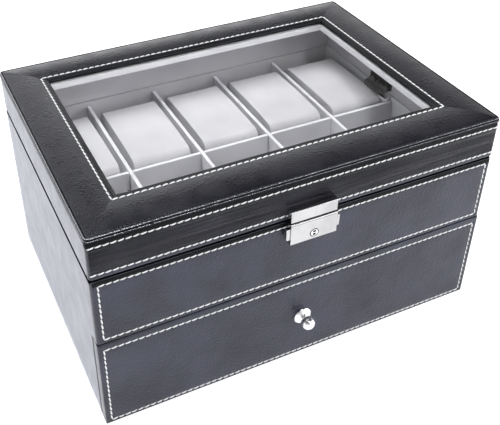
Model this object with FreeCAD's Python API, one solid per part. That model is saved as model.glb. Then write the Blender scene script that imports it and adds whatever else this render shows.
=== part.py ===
import FreeCAD, Part
import math
import os

# Two-tier watch box: boards covered in sewn leather, a hinged lid with a glass window,
# a lined tray of cushions under it and a drawer of cushions below.
# Millimetres. X runs to the right, Y to the back, Z up, with the box standing on Z = 0.

# Overall size
box_width = 285.0
box_depth = 205.0
box_height = 157.0
lid_height = 30.6
drawer_height = 72.9

# Materials and corners
leather = 0.8
base_board = 3.7
deck_board = 3.0
lid_card = 1.2
tray_lining = 3.0
corner_radius = 2.5
board_corner_chamfer = 1.0
leather_edge_chamfer = 1.0
joint_depth = 1.5

# Clearances
seam_gap = 0.4
lip_gap = 0.3
drawer_lift = 0.5
drawer_seam = 1.0
drawer_side_gap = 0.6
drawer_floor_gap = 0.4
overlay_gap = 0.3
groove_play = 0.1
slot_play = 0.2
running_fit = 0.05
knuckle_gap = 0.3
rim_gap = 0.5

# Lid window
window_width = 226.0
window_depth = 145.0
window_shift = 2.0
glass_thickness = 2.0
glass_lap = 8.0
glass_play = 0.3
retainer_thickness = 5.0
top_board = 2.2
lid_groove = 0.2

# Tray and its cells
cell_columns = 5
divider_thickness = 2.6
lining_drop = 7.5
divider_drop = 11.0

# Cushions
cushion_side_room = 5.25
cushion_end_room = 7.85
cushion_drop = 9.4
cushion_crown_radius = 420.0
cushion_end_share = 0.27
cushion_foot_chamfer = 5.0
cushion_draw_in = 0.8
cushion_seam_band = 3.0
rear_cushion_shift = -0.35
front_cushion_shift = -4.0

# Drawer
drawer_front_thickness = 8.0
drawer_board = 4.0
drawer_side_height = 60.0
drawer_back_gap = 3.0
drawer_bottom_rise = 1.2

# Knob
knob_flange_radius = 6.5
knob_flange_thickness = 2.2
knob_rim_step = 1.1
knob_neck_radius = 2.6
knob_ball_radius = 4.8
knob_ball_offset = 7.7
knob_stud_radius = 1.95

# Hinges
hinge_spread = 170.0
hinge_width = 30.0
hinge_leaf_height = 13.0
hinge_leaf = 1.0
hinge_barrel_radius = 2.0
hinge_pin_radius = 0.9

# Lock
lock_depth = 6.0
lock_wall = 1.0
lock_edge = 0.7
case_half_width = 16.6
case_height = 16.1
case_rise = 0.4
case_line_drop = 0.9
case_line_width = 0.25
case_line_depth = 0.3
hasp_half_width = 16.4
hasp_height = 8.7
hasp_rise = 0.5
hasp_depth = 5.2
leg_inner = 6.0
leg_outer = 10.0
leg_thickness = 1.2
leg_set_back = 2.9
leg_swing = 0.8
catch_height = 1.4
catch_depth = 1.6
ear_reach = 2.5
ear_height = 8.6
ear_drop = 1.8
ear_depth = 2.5
arm_thickness = 1.4
arm_height = 4.0
latch_travel = 2.4
plug_radius = 2.45
plug_rise = 5.0
plug_proud = 0.1
plug_ring = 0.4
plug_ring_depth = 0.5
key_slot_width = 1.9
key_slot_depth = 1.0
key_slot_inner = 0.4
key_slot_outer = 1.75
cam_length = 7.0
cam_half_width = 0.9
spring_strip = 0.8
spring_folds = 6

# Lid stay straps
strap_width = 28.0
strap_thickness = 0.6
strap_centre = 16.5
strap_lid_reach = 17.0
strap_loop_radius = 2.2
strap_turn_radius = 4.3
strap_loop_angle = math.radians(84)
strap_loop_drop = 8.7
strap_fold_radius = 0.4
strap_folds = 3
strap_fold_top = 5.0
strap_fold_rise = 3.0
pocket_card = 0.6
pocket_room = 0.2
pocket_rise = 0.3

# Heights worked out from the sizes above
lid_bottom = box_height - lid_height
base_top = lid_bottom - seam_gap
seam_height = (lid_bottom + base_top) / 2
base_board_top = base_top - leather
drawer_front_top = drawer_lift + drawer_height
deck_bottom = drawer_front_top + drawer_seam
tray_floor = deck_bottom + deck_board
divider_height = base_top - divider_drop - tray_floor
lining_top = base_top - lining_drop
cushion_height = base_top - cushion_drop - tray_floor
cushion_end_radius = cushion_end_share * cushion_height
top_cover_bottom = box_height - leather - top_board
glass_bottom = top_cover_bottom - glass_thickness
retainer_bottom = glass_bottom - retainer_thickness
lid_board_bottom = lid_bottom + leather

# Half widths and half depths worked out from the sizes above
outer_x = box_width / 2
outer_y = box_depth / 2
board_x = outer_x - leather
board_y = outer_y - leather
wall_x = board_x - base_board
wall_y = board_y - base_board
fold_x = wall_x - leather
fold_y = wall_y - leather
lid_wall_x = fold_x - lip_gap
lid_wall_y = fold_y - lip_gap
tray_x = wall_x - tray_lining
tray_y = wall_y - tray_lining
row_middle = (tray_y + divider_thickness / 2) / 2
cushion_width = 2 * tray_x / cell_columns - 2 * cushion_side_room
cushion_length = tray_y - divider_thickness / 2 - 2 * cushion_end_room
drawer_front_back = drawer_front_thickness - outer_y
window_front = window_shift - window_depth / 2
window_back = window_shift + window_depth / 2
beyond = box_width + box_depth

parts_folder = "parts"
os.makedirs(parts_folder, exist_ok=True)


def point(x, y, z):
    return FreeCAD.Vector(x, y, z)


def save(node, *solids):
    """One file for one node, holding one solid or a group of alike solids."""
    shape = solids[0] if len(solids) == 1 else Part.makeCompound(list(solids))
    shape.exportStep(parts_folder + "/" + node + ".step")


def slab(x0, x1, y0, y1, z0, z1):
    """Box between two opposite corners."""
    return Part.makeBox(x1 - x0, y1 - y0, z1 - z0, point(x0, y0, z0))


def mirrored(solid):
    """The same piece on the other side of the box."""
    return solid.mirror(point(0, 0, 0), point(1, 0, 0))


def edges_along(solid, axis):
    """Straight edges that run along one axis: 0 for X, 1 for Y, 2 for Z."""
    found = []
    for edge in solid.Edges:
        start = edge.Vertexes[0].Point
        end = edge.Vertexes[-1].Point
        if abs(abs(start[axis] - end[axis]) - edge.Length) < 1e-6:
            found.append(edge)
    return found


def edges_at(solid, axis, place):
    """Edges whose every point has the same place on one axis."""
    found = []
    for edge in solid.Edges:
        if all(abs(vertex.Point[axis] - place) < 1e-6 for vertex in edge.Vertexes):
            found.append(edge)
    return found


def leather_block(z0, z1):
    """Outside of the leather over a height of the box, round at the corners."""
    block = slab(-outer_x, outer_x, -outer_y, outer_y, z0, z1)
    return block.makeFillet(corner_radius, edges_along(block, 2))


def board_block(z0, z1):
    """Outside of the boards over a height of the box, eased at the corners for the leather."""
    block = slab(-board_x, board_x, -board_y, board_y, z0, z1)
    return block.makeChamfer(board_corner_chamfer, edges_along(block, 2))


def window_block(grow, z0, z1):
    """The window's outline, grown by a margin, as an upright block."""
    half = window_width / 2 + grow
    return slab(-half, half, window_front - grow, window_back + grow, z0, z1)


def halving_slot(x, y, along_x, z0, z1):
    """The cut that lets one divider sit into another that crosses it."""
    half_cut = divider_thickness / 2 + slot_play / 2
    if along_x:
        return slab(x - half_cut, x + half_cut, y - divider_thickness, y + divider_thickness, z0, z1)
    return slab(x - divider_thickness, x + divider_thickness, y - half_cut, y + half_cut, z0, z1)


def divider_set(half_x, y_front, y_back, floor):
    """The long divider and the cross dividers of one tier, halved into each other."""
    half = divider_thickness / 2
    top = floor + divider_height
    middle_z = floor + divider_height / 2
    middle_y = (y_front + y_back) / 2
    pitch = 2 * half_x / cell_columns
    lines = [-half_x + pitch * (column + 1) for column in range(cell_columns - 1)]
    long_end = half_x - groove_play
    long_divider = slab(-long_end, long_end, middle_y - half, middle_y + half, floor, top)
    cross_dividers = []
    for x in lines:
        long_divider = long_divider.cut(halving_slot(x, middle_y, True, middle_z, top + seam_gap))
        cross = slab(x - half, x + half, y_front + groove_play, y_back - groove_play, floor, top)
        cross_dividers.append(cross.cut(halving_slot(x, middle_y, False, floor - seam_gap, middle_z)))
    return long_divider, cross_dividers


def cushion_outline(x, draw_in):
    """Closed side view of a cushion: flat foot, round ends and a crowned top."""
    half = cushion_length / 2 - draw_in
    top = cushion_height - draw_in
    foot = cushion_foot_chamfer
    end = cushion_end_radius
    crown = cushion_crown_radius
    end_y = half - end
    end_z = top - crown + math.sqrt((crown - end) ** 2 - end_y ** 2)
    lean = math.atan2(end_y, end_z - (top - crown))
    meet_y = crown * math.sin(lean)
    meet_z = top - crown + crown * math.cos(lean)
    bend = (lean + math.pi / 2) / 2
    bend_y = end_y + end * math.sin(bend)
    bend_z = end_z + end * math.cos(bend)

    def arc(start, middle, finish):
        return Part.Arc(point(x, *start), point(x, *middle), point(x, *finish)).toShape()

    def line(start, finish):
        return Part.makeLine(point(x, *start), point(x, *finish))

    return Part.Wire([
        line((foot - half, 0), (half - foot, 0)),
        line((half - foot, 0), (half, foot)),
        line((half, foot), (half, end_z)),
        arc((half, end_z), (bend_y, bend_z), (meet_y, meet_z)),
        arc((meet_y, meet_z), (0, top), (-meet_y, meet_z)),
        arc((-meet_y, meet_z), (-bend_y, bend_z), (-half, end_z)),
        line((-half, end_z), (-half, foot)),
        line((-half, foot), (foot - half, 0)),
    ])


def cushion(x, y, z):
    """One cushion, fullest in the middle and drawn in at its two side seams."""
    side = cushion_width / 2
    full = side - cushion_seam_band
    stations = [(-side, cushion_draw_in), (-full, 0.0), (full, 0.0), (side, cushion_draw_in)]
    body = Part.makeLoft([cushion_outline(*station) for station in stations], True, True)
    body.translate(point(x, y, z))
    return body


def cushion_row(half_x, y, floor):
    """A cushion in the middle of each column."""
    pitch = 2 * half_x / cell_columns
    return [cushion(-half_x + pitch * (column + 0.5), y, floor) for column in range(cell_columns)]


# Base boards: two sides grooved for the deck and rebated for the front and back boards

def base_side():
    side = slab(-board_x, -wall_x, -board_y, board_y, 0, base_board_top)
    outer_edges = [edge for edge in edges_along(side, 2) if edge.Vertexes[0].X < -wall_x - leather]
    side = side.makeChamfer(board_corner_chamfer, outer_edges)
    rebate_x = -wall_x - joint_depth
    side = side.cut(slab(rebate_x, 0, wall_y, beyond, 0, base_board_top))
    side = side.cut(slab(rebate_x, 0, -beyond, -wall_y, deck_bottom, base_board_top))
    side = side.cut(slab(rebate_x, 0, -wall_y, wall_y, deck_bottom, tray_floor))
    drawer_front_end = drawer_front_back + overlay_gap
    return side.cut(slab(-beyond, 0, -beyond, drawer_front_end, 0, deck_bottom))


rebate_end = wall_x + joint_depth - groove_play
left_side = base_side()
save("base_left_board", left_side)
save("base_right_board", mirrored(left_side))
save("base_back_board", slab(-rebate_end, rebate_end, wall_y, board_y, 0, base_board_top))
save("base_front_board", slab(-rebate_end, rebate_end, -board_y, -wall_y, deck_bottom, base_board_top))
save("base_bottom_board", slab(-wall_x, wall_x, drawer_front_back + overlay_gap, wall_y, 0, deck_board))
save("tray_deck", slab(-rebate_end, rebate_end, -wall_y, wall_y, deck_bottom, tray_floor))

# Leather wrap of the base: outside of all boards, over the rim and down to the tray lining

wrap = leather_block(drawer_lift, base_top)
wrap = wrap.cut(board_block(0, base_board_top))
wrap = wrap.cut(slab(-fold_x, fold_x, -fold_y, fold_y, 0, box_height))
rim_fold = slab(-wall_x, wall_x, -wall_y, wall_y, lining_top, base_top)
rim_fold = rim_fold.cut(slab(-fold_x, fold_x, -fold_y, fold_y, 0, box_height))
wrap = wrap.fuse(rim_fold).removeSplitter()
wrap = wrap.cut(slab(-beyond, beyond, -beyond, drawer_front_back + overlay_gap, 0, deck_bottom))
save("base_leather_wrap", wrap.Solids[0])

# Tray: lining boards, crossed dividers and two rows of cushions

left_lining = slab(-wall_x, -tray_x, -wall_y, wall_y, tray_floor, lining_top)
save("tray_lining_left", left_lining)
save("tray_lining_right", mirrored(left_lining))
save("tray_lining_back", slab(-tray_x, tray_x, tray_y, wall_y, tray_floor, lining_top))
save("tray_lining_front", slab(-tray_x, tray_x, -wall_y, -tray_y, tray_floor, lining_top))

tray_long, tray_cross = divider_set(tray_x, -tray_y, tray_y, tray_floor)
save("tray_long_divider", tray_long)
for number, divider in enumerate(tray_cross, 1):
    save("tray_cross_divider_%d" % number, divider)

save("tray_cushions_rear", *cushion_row(tray_x, row_middle + rear_cushion_shift, tray_floor))
save("tray_cushions_front", *cushion_row(tray_x, front_cushion_shift - row_middle, tray_floor))

# Lid boards: two sides rebated for the front and back

def lid_side():
    side = slab(-board_x, -lid_wall_x, -board_y, board_y, lid_board_bottom, top_cover_bottom)
    outer_edges = [edge for edge in edges_along(side, 2) if edge.Vertexes[0].X < -lid_wall_x - leather]
    side = side.makeChamfer(board_corner_chamfer, outer_edges)
    for turn in (-1, 1):
        inner, outer = sorted((turn * lid_wall_y, turn * beyond))
        side = side.cut(slab(-lid_wall_x - joint_depth, 0, inner, outer, lid_bottom, box_height))
    return side


lid_end = lid_wall_x + joint_depth - groove_play
left_lid_side = lid_side()
save("lid_left_board", left_lid_side)
save("lid_right_board", mirrored(left_lid_side))
save("lid_back_board", slab(-lid_end, lid_end, lid_wall_y, board_y, lid_board_bottom, top_cover_bottom))
save("lid_front_board", slab(-lid_end, lid_end, -board_y, -lid_wall_y, lid_board_bottom, top_cover_bottom))

# Lid top: a board with the window opening under one sheet of leather turned in at every edge

top_plate = board_block(top_cover_bottom, box_height - leather)
save("lid_top_board", top_plate.cut(window_block(leather, 0, box_height)))

top_sheet = leather_block(top_cover_bottom + lid_groove, box_height)
top_sheet = top_sheet.makeChamfer(leather_edge_chamfer, edges_at(top_sheet, 2, box_height))
top_sheet = top_sheet.cut(top_plate)
window_turn_in = window_block(leather, top_cover_bottom, box_height - leather)
top_sheet = top_sheet.fuse(window_turn_in).removeSplitter()
save("lid_top_cover", top_sheet.cut(window_block(0, 0, box_height + leather)).Solids[0])

band = leather_block(lid_bottom, top_cover_bottom - lid_groove)
band = band.cut(board_block(lid_board_bottom, box_height))
save("lid_band_cover", band.cut(slab(-lid_wall_x, lid_wall_x, -lid_wall_y, lid_wall_y, 0, box_height)))

# Glass in the rebate of its lined retainer

pane_x = window_width / 2 + glass_lap
pane = slab(-pane_x, pane_x, window_front - glass_lap, window_back + glass_lap, glass_bottom, top_cover_bottom)
save("lid_glass", pane)

retainer = slab(-lid_wall_x, lid_wall_x, -lid_wall_y, lid_wall_y, retainer_bottom, top_cover_bottom)
retainer = retainer.cut(window_block(0, 0, box_height))
pocket_x = pane_x + glass_play
pocket_front = window_front - glass_lap - glass_play
pocket_back = window_back + glass_lap + glass_play
retainer = retainer.cut(slab(-pocket_x, pocket_x, pocket_front, pocket_back, glass_bottom, box_height))
save("lid_glass_retainer", retainer)

# Lid lining: cards that reach below the lid and locate it inside the base

lip_bottom = lining_top + rim_gap
card_x = lid_wall_x - lid_card
side_card = slab(-lid_wall_x, -card_x, -lid_wall_y, lid_wall_y, lip_bottom, retainer_bottom)
save("lid_side_linings", side_card, mirrored(side_card))
back_card = slab(-card_x, card_x, lid_wall_y - lid_card, lid_wall_y, lip_bottom, retainer_bottom)
front_card = slab(-card_x, card_x, -lid_wall_y, lid_card - lid_wall_y, lip_bottom, retainer_bottom)
save("lid_end_linings", back_card, front_card)

# Hinges: leaves on the back with interleaved knuckles on one pin

hinge_y = outer_y + hinge_barrel_radius
knuckle_length = hinge_width / 3
hinge_places = [-hinge_spread / 2, hinge_spread / 2]


def rod(radius, x0, x1):
    """Round bar along the hinge line."""
    return Part.makeCylinder(radius, x1 - x0, point(x0, hinge_y, seam_height), point(1, 0, 0))


def hinge_leaf_pair(x):
    """The base leaf with two end knuckles and the lid leaf with the middle one."""
    ends = [x - hinge_width / 2, x - knuckle_length / 2, x + knuckle_length / 2, x + hinge_width / 2]
    low = seam_height - hinge_leaf_height
    high = seam_height + hinge_leaf_height
    bore = rod(hinge_pin_radius + running_fit, ends[0], ends[3])
    sweep = hinge_barrel_radius + knuckle_gap
    base_leaf = slab(ends[0], ends[3], outer_y, outer_y + hinge_leaf, low, seam_height)
    base_leaf = base_leaf.cut(slab(
        ends[1] - knuckle_gap, ends[2] + knuckle_gap, outer_y, beyond, seam_height - sweep, seam_height))
    for start, end in ((ends[0], ends[1]), (ends[2], ends[3])):
        base_leaf = base_leaf.fuse(rod(hinge_barrel_radius, start, end))
    lid_leaf = slab(ends[0], ends[3], outer_y, outer_y + hinge_leaf, seam_height, high)
    for start, end in ((ends[0], ends[1] + knuckle_gap), (ends[2] - knuckle_gap, ends[3])):
        lid_leaf = lid_leaf.cut(slab(start, end, outer_y, beyond, seam_height, seam_height + sweep))
    middle = rod(hinge_barrel_radius, ends[1] + knuckle_gap, ends[2] - knuckle_gap)
    lid_leaf = lid_leaf.fuse(middle)
    return base_leaf.cut(bore).removeSplitter(), lid_leaf.cut(bore).removeSplitter()


leaf_pairs = [hinge_leaf_pair(x) for x in hinge_places]
save("hinge_base_leaves", *[pair[0] for pair in leaf_pairs])
save("hinge_lid_leaves", *[pair[1] for pair in leaf_pairs])
save("hinge_pins", *[rod(hinge_pin_radius, x - hinge_width / 2, x + hinge_width / 2) for x in hinge_places])

# Lock: case on the base, hasp on the lid, two sprung side catches and a key plug with a cam

lock_face = -outer_y - lock_depth
lock_inside = lock_face + lock_wall
case_top = base_top + case_rise
case_bottom = case_top - case_height
case_inner = case_half_width - lock_wall
catch_top = case_top - 2 * lock_wall
leg_front = -outer_y - leg_set_back
leg_back = leg_front + leg_thickness
leg_bottom = case_bottom + lock_wall + leg_swing
arm_front = lock_inside + slot_play
arm_back = arm_front + arm_thickness
arm_inner = leg_inner + catch_depth - latch_travel - leg_swing + slot_play
plug_z = case_bottom + plug_rise


def lock_block(half_width, depth, z0, z1):
    """Plain block on the front of the box with softened front edges."""
    face = -outer_y - depth
    block = slab(-half_width, half_width, face, -outer_y, z0, z1)
    return block.makeFillet(lock_edge, edges_at(block, 1, face))


def both_sides(x0, x1, y0, y1, z0, z1):
    """The same box on the left and on the right."""
    right = slab(x0, x1, y0, y1, z0, z1)
    return right.fuse(mirrored(right))


def front_rod(radius, y0, y1):
    """Round bar on the key plug's line."""
    return Part.makeCylinder(radius, y1 - y0, point(0, y0, plug_z), point(0, 1, 0))


case = lock_block(case_half_width, lock_depth, case_bottom, case_top)
case_line = case_top - case_line_drop
case = case.cut(slab(
    -beyond, beyond, lock_face - lock_wall, lock_face + case_line_depth, case_line - case_line_width, case_line))
case = case.cut(slab(-case_inner, case_inner, lock_inside, 0, case_bottom + lock_wall, case_top - lock_wall))
ear_top = catch_top - ear_drop
ear_bottom = ear_top - ear_height
case = case.cut(both_sides(
    case_inner - lock_wall, beyond, arm_front - groove_play, arm_front + ear_depth + groove_play,
    ear_bottom - groove_play, ear_top + groove_play))
case = case.cut(both_sides(
    leg_inner - lip_gap, leg_outer + lip_gap, leg_front - leg_swing, leg_back + leg_swing,
    catch_top, box_height))
case = case.cut(front_rod(plug_radius + running_fit, lock_face - lock_wall, lock_inside + lock_wall))
case = case.cut(front_rod(plug_radius + plug_ring, lock_face - lock_wall, lock_face + plug_ring_depth))
save("lock_case", case)

hasp_bottom = lid_bottom + hasp_rise
hasp = lock_block(hasp_half_width, hasp_depth, hasp_bottom, hasp_bottom + hasp_height)
legs = both_sides(leg_inner, leg_outer, leg_front, leg_back, leg_bottom, hasp_bottom + lock_wall)
catch_bottom = catch_top - slot_play - catch_height
legs = legs.cut(both_sides(
    0, leg_inner + catch_depth + slot_play, leg_front, leg_back,
    catch_bottom - slot_play, catch_top))
cam_reach = math.hypot(cam_length, cam_half_width)
cam_sweep = math.sqrt(cam_reach ** 2 - leg_inner ** 2)
legs = legs.cut(both_sides(
    0, cam_reach + slot_play, leg_front, leg_back,
    plug_z - cam_half_width - slot_play, plug_z + cam_sweep + slot_play))
save("lock_hasp", hasp.fuse(legs).removeSplitter())


def side_catch():
    """Finger ear, inner shoulder, arm and the catch that sits in the right leg's notch."""
    shoulder_out = case_inner - slot_play
    shoulder_in = shoulder_out - lock_wall
    ear_out = case_half_width + ear_reach
    ear_back = arm_front + ear_depth
    ear = slab(shoulder_in, ear_out, arm_front, ear_back, ear_bottom, ear_top)
    ear = ear.makeFillet(lock_edge, edges_at(ear, 0, ear_out))
    shoulder = slab(
        shoulder_in, shoulder_out, arm_front, ear_back, ear_bottom - lock_wall / 2, catch_top + lock_wall / 2)
    arm = slab(arm_inner, shoulder_out, arm_front, arm_back, catch_top - arm_height, catch_top)
    tip = slab(
        arm_inner, leg_inner + catch_depth, arm_front, leg_back - groove_play,
        catch_bottom, catch_bottom + catch_height)
    return ear.fuse([shoulder, arm, tip]).removeSplitter()


right_catch = side_catch()
save("latch_right", right_catch)
save("latch_left", mirrored(right_catch))

plug = front_rod(plug_radius, lock_face - plug_proud, leg_back)
cam = slab(
    -cam_half_width, cam_half_width, leg_front + groove_play, leg_back - groove_play,
    plug_z, plug_z + cam_length)
plug = plug.fuse(cam)
half_slot = key_slot_width / 2
for low, high in ((key_slot_inner, key_slot_outer), (-key_slot_outer, -key_slot_inner)):
    plug = plug.cut(slab(
        -half_slot, half_slot, lock_face - lock_wall, lock_face - plug_proud + key_slot_depth,
        plug_z + low, plug_z + high))
save("key_plug", plug.removeSplitter())


def folded_spring():
    """Zigzag strip that keeps the two catches apart."""
    half = arm_inner - groove_play
    step = 2 * half / spring_folds
    low = catch_top - arm_height + slot_play
    high = catch_top - slot_play - spring_strip
    path = [(-half + step * fold, high if fold % 2 else low) for fold in range(spring_folds + 1)]
    outline = path + [(x, z + spring_strip) for x, z in reversed(path)]
    corners = [point(x, arm_front + groove_play, z) for x, z in outline]
    face = Part.Face(Part.makePolygon(corners + corners[:1]))
    return face.extrude(point(0, arm_thickness - 2 * groove_play, 0))


save("lock_spring", folded_spring())

# Stay straps: leather strips from the lid lining to the tray lining, slack tucked in folds while shut

def strip_side(steps, x, z, y, shift):
    """One face of a strip that sets out downward, by straight runs, round bends and tight creased folds."""
    edges = []
    heading = -math.pi / 2

    def spot(from_x, from_z, out, angle):
        return point(from_x + out * math.cos(angle), y, from_z + out * math.sin(angle))

    for radius, amount in steps:
        left = heading + math.pi / 2
        if radius is None:
            end_x = x + amount * math.cos(heading)
            end_z = z + amount * math.sin(heading)
            edges.append(Part.makeLine(spot(x, z, shift, left), spot(end_x, end_z, shift, left)))
            x, z = end_x, end_z
            continue
        side = math.copysign(1, amount)
        centre_x = x + side * radius * math.cos(left)
        centre_z = z + side * radius * math.sin(left)
        spread = radius - side * shift
        outward = left + math.pi if side > 0 else left
        turns = [outward, outward + amount / 2, outward + amount]
        start, middle, end = [spot(centre_x, centre_z, spread, turn) for turn in turns]
        if radius < strap_thickness:
            edges += [Part.makeLine(start, middle), Part.makeLine(middle, end)]
        else:
            edges.append(Part.Arc(start, middle, end).toShape())
        heading += amount
        x = centre_x + radius * math.cos(outward + amount)
        z = centre_z + radius * math.sin(outward + amount)
    return edges


def strap():
    """Right strap: down the lid, round a loop, then folded up and down beside the tray lining."""
    angle = strap_loop_angle
    tray_leg = tray_x - strap_thickness / 2
    first_leg = tray_leg - 2 * strap_fold_radius * strap_folds
    lid_leg = card_x - strap_thickness / 2
    loop = strap_loop_radius
    upper = strap_turn_radius
    lower = upper - (lid_leg - first_leg) / (1 - math.cos(angle))
    loop_z = seam_height - strap_loop_drop
    strap_top = lid_bottom + strap_lid_reach
    fold_low = tray_floor + strap_fold_rise
    fold_high = lining_top - strap_fold_top
    upper_run = strap_top - loop_z - (upper + loop) * math.sin(angle)
    lower_run = loop_z - (lower + loop) * math.sin(angle) - fold_low
    steps = [(None, upper_run), (upper, -angle), (loop, 2 * angle), (lower, -angle), (None, lower_run)]
    for fold in range(strap_folds):
        steps.append((strap_fold_radius, -math.pi if fold % 2 else math.pi))
        steps.append((None, fold_high - fold_low))
    front = strap_centre - strap_width / 2
    faces = [strip_side(steps, lid_leg, strap_top, front, turn * strap_thickness / 2) for turn in (-1, 1)]
    ends = [
        Part.makeLine(faces[0][0].valueAt(0), faces[1][0].valueAt(0)),
        Part.makeLine(faces[0][-1].valueAt(fold_high - fold_low), faces[1][-1].valueAt(fold_high - fold_low)),
    ]
    outline = Part.Wire(Part.__sortEdges__(faces[0] + faces[1] + ends))
    return Part.Face(outline).extrude(point(0, strap_width, 0))


right_strap = strap()
save("stay_straps", right_strap, mirrored(right_strap))


def strap_pocket():
    """Right pocket: a thin lined card bent round the folded slack and glued to the tray lining."""
    stack = strap_thickness + 2 * strap_fold_radius * strap_folds + pocket_room
    half = strap_width / 2 + pocket_room
    top = lining_top - strap_fold_top + pocket_rise
    outside = slab(
        tray_x - stack - pocket_card, tray_x, strap_centre - half - pocket_card, strap_centre + half + pocket_card,
        tray_floor, top)
    return outside.cut(slab(tray_x - stack, tray_x, strap_centre - half, strap_centre + half, tray_floor, top))


right_pocket = strap_pocket()
save("strap_pockets", right_pocket, mirrored(right_pocket))

# Drawer: leather-covered front, grooved sides and back, bottom let into the grooves

drawer_x = wall_x - drawer_side_gap
drawer_inner = drawer_x - drawer_board
drawer_bottom = deck_board + drawer_floor_gap
drawer_side_top = drawer_bottom + drawer_side_height
drawer_rear = wall_y - drawer_back_gap
drawer_rear_inner = drawer_rear - drawer_board
drawer_floor_under = drawer_bottom + drawer_bottom_rise
drawer_floor = drawer_floor_under + deck_board
tongue = joint_depth - groove_play
knob_z = drawer_lift + drawer_height / 2


stud_bore = Part.makeCylinder(
    knob_stud_radius + running_fit, drawer_front_thickness, point(0, -outer_y, knob_z), point(0, 1, 0))
core = slab(-board_x, board_x, -board_y, drawer_front_back, drawer_lift + leather, drawer_front_top - leather)
core = core.makeChamfer(board_corner_chamfer, edges_along(core, 1))
cover = slab(-outer_x, outer_x, -outer_y, drawer_front_back, drawer_lift, drawer_front_top)
cover = cover.makeFillet(corner_radius, edges_along(cover, 1))
cover = cover.makeChamfer(leather_edge_chamfer, edges_at(cover, 1, -outer_y))
save("drawer_front_cover", cover.cut(core).cut(stud_bore))

joint_front = drawer_front_back - joint_depth
core = core.cut(both_sides(
    drawer_inner, drawer_x, joint_front, 0, drawer_bottom, drawer_side_top))
core = core.cut(slab(-drawer_inner, drawer_inner, joint_front, 0, drawer_floor_under, drawer_floor))
save("drawer_front_board", core.cut(stud_bore))

side_front = drawer_front_back - tongue
right_wall = slab(drawer_inner, drawer_x, side_front, drawer_rear, drawer_bottom, drawer_side_top)
joint_x = drawer_inner + joint_depth
right_wall = right_wall.cut(slab(0, joint_x, side_front, drawer_rear, drawer_floor_under, drawer_floor))
right_wall = right_wall.cut(slab(0, joint_x, drawer_rear_inner, beyond, drawer_bottom, drawer_side_top))
save("drawer_right_side", right_wall)
save("drawer_left_side", mirrored(right_wall))

floor_x = drawer_inner + tongue
back_wall = slab(-floor_x, floor_x, drawer_rear_inner, drawer_rear, drawer_bottom, drawer_side_top)
save("drawer_back", back_wall.cut(slab(
    -beyond, beyond, drawer_rear_inner, drawer_rear_inner + joint_depth, drawer_floor_under, drawer_floor)))
floor_back = drawer_rear_inner + tongue
save("drawer_bottom", slab(-floor_x, floor_x, side_front, floor_back, drawer_floor_under, drawer_floor))

drawer_long, drawer_cross = divider_set(drawer_inner, drawer_front_back, drawer_rear_inner, drawer_floor)
save("drawer_long_divider", drawer_long)
save("drawer_cross_dividers", *drawer_cross)
drawer_middle = (drawer_front_back + drawer_rear_inner) / 2
drawer_quarter = (drawer_rear_inner - drawer_front_back) / 4
save("drawer_cushions_rear", *cushion_row(drawer_inner, drawer_middle + drawer_quarter, drawer_floor))
save("drawer_cushions_front", *cushion_row(drawer_inner, drawer_middle - drawer_quarter, drawer_floor))

# Knob: turned flange, tapered neck and ball on a stud through the drawer front

def knob():
    ball = knob_ball_radius
    centre = knob_ball_offset
    neck = centre - math.sqrt(ball ** 2 - knob_neck_radius ** 2)
    rim = knob_flange_radius - knob_rim_step

    def spot(radius, out):
        return point(radius, -out, 0)

    corners = [
        spot(0, -drawer_front_thickness), spot(knob_stud_radius, -drawer_front_thickness),
        spot(knob_stud_radius, 0), spot(knob_flange_radius, 0),
        spot(knob_flange_radius, knob_flange_thickness - knob_rim_step), spot(rim, knob_flange_thickness),
        spot(knob_neck_radius, neck)]
    edges = [Part.makeLine(start, end) for start, end in zip(corners, corners[1:])]
    edges.append(Part.Arc(corners[-1], spot(ball, centre), spot(0, centre + ball)).toShape())
    edges.append(Part.makeLine(spot(0, centre + ball), corners[0]))
    turned = Part.Face(Part.Wire(edges)).revolve(point(0, 0, 0), point(0, 1, 0), 360)
    turned.translate(point(0, -outer_y, knob_z))
    return turned


save("drawer_knob", knob())
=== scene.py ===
import math

import bmesh
import bpy
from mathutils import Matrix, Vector, noise


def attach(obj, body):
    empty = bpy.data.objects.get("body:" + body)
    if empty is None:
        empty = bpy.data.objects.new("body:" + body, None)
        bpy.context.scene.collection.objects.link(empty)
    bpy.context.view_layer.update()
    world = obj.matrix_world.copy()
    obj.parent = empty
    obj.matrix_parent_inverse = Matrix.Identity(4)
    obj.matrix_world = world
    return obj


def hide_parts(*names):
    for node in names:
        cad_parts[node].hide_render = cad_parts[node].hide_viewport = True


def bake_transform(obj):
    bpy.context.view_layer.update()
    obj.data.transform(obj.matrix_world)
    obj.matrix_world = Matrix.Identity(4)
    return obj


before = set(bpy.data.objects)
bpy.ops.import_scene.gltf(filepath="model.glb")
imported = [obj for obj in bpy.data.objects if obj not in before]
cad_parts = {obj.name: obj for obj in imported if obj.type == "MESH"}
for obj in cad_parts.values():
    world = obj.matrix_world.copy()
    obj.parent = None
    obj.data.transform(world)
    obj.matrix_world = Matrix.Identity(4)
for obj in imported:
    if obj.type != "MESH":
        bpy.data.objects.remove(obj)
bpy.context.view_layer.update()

# Camera: stands in front of the box and to its left, and looks down through the window.
# The shift keeps the box edge to edge in the frame, as in the photograph.
lens = bpy.data.cameras.new("camera")
lens.sensor_width = 36
lens.lens = 57.476
lens.shift_x = 0.0880
lens.shift_y = -0.1433
camera = bpy.data.objects.new("camera", lens)
camera.location = (-0.21539, -0.42439, 0.44065)
camera.rotation_euler = [math.radians(turn) for turn in (55.7918, 0.5275, -24.6370)]
bpy.context.scene.collection.objects.link(camera)
bpy.context.scene.camera = camera

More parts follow.
